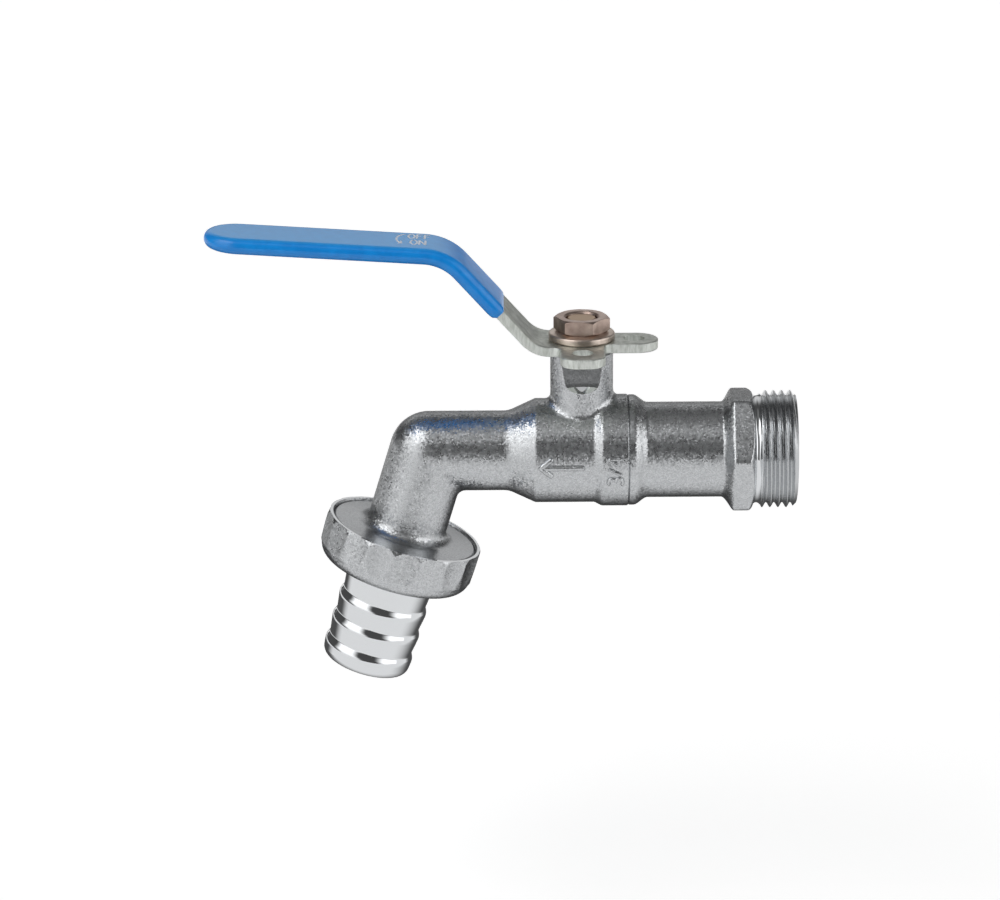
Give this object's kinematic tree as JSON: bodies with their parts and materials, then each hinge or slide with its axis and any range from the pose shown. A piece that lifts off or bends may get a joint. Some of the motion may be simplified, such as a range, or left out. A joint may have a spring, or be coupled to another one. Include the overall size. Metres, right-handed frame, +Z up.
{
  "type": "bibcock",
  "caption": "Ball-type bib tap with a quarter-turn lever in a dipped sleeve, a threaded wall inlet, a sloping spout and a faceted union nut with a barbed hose tail.",
  "frame": {"origin": "on the inlet's axis, at the inner end of the inlet thread", "axes": "+X out of the inlet towards the wall, +Z up towards the lever, Y across"},
  "size_m": [0.132, 0.036, 0.1049],
  "materials": {
    "satin_chrome": "chrome plate over a shot-blasted brass forging, satin with a fine sparkling grain",
    "bright_chrome": "chrome plate over turned brass, mirror bright",
    "stem_brass": "turned brass",
    "zinc_steel": "zinc-plated steel plate, pale and slightly green",
    "bronzed_steel": "steel with a warm brown passivated finish",
    "blue_vinyl": "dipped vinyl, satin blue",
    "white_ptfe": "white PTFE",
    "black_rubber": "black nitrile rubber"
  },
  "bodies": {
    "tap_body": {"body": "satin_chrome", "inlet_end": "satin_chrome", "seat_inlet": "white_ptfe", "seat_outlet": "white_ptfe"},
    "lever_unit": {"lever": "zinc_steel", "lever_sleeve": "blue_vinyl", "lever_washer": "bronzed_steel", "lever_nut": "bronzed_steel", "stem": "stem_brass", "stem_thrust_washer": "white_ptfe", "stem_o_ring_lower": "black_rubber", "stem_o_ring_upper": "black_rubber", "ball": "bright_chrome"},
    "tail_unit": {"hose_tail": "bright_chrome", "union_gasket": "black_rubber"},
    "nut_unit": {"union_nut": "satin_chrome"}
  },
  "joints": [
    {"name": "lever_turn", "type": "hinge", "parent": "tap_body", "child": "lever_unit", "pos_m": [-0.0402, 0, 0.024], "axis": [0, 0, 1], "range_deg": [-90, 0]},
    {"name": "tail_draw", "type": "slide", "parent": "tap_body", "child": "tail_unit", "axis": [-0.2924, 0, -0.9563], "range_m": [0, 0.00465]},
    {"name": "union_nut_turn", "type": "hinge", "parent": "tail_unit", "child": "nut_unit", "pos_m": [-0.08169, 0, -0.02353], "axis": [-0.2924, 0, -0.9563], "range_deg": [0, 720]}
  ],
  "couplings": [
    {"joint": "tail_draw", "follows": "union_nut_turn", "m_per_rad": 0.00036749}
  ]
}
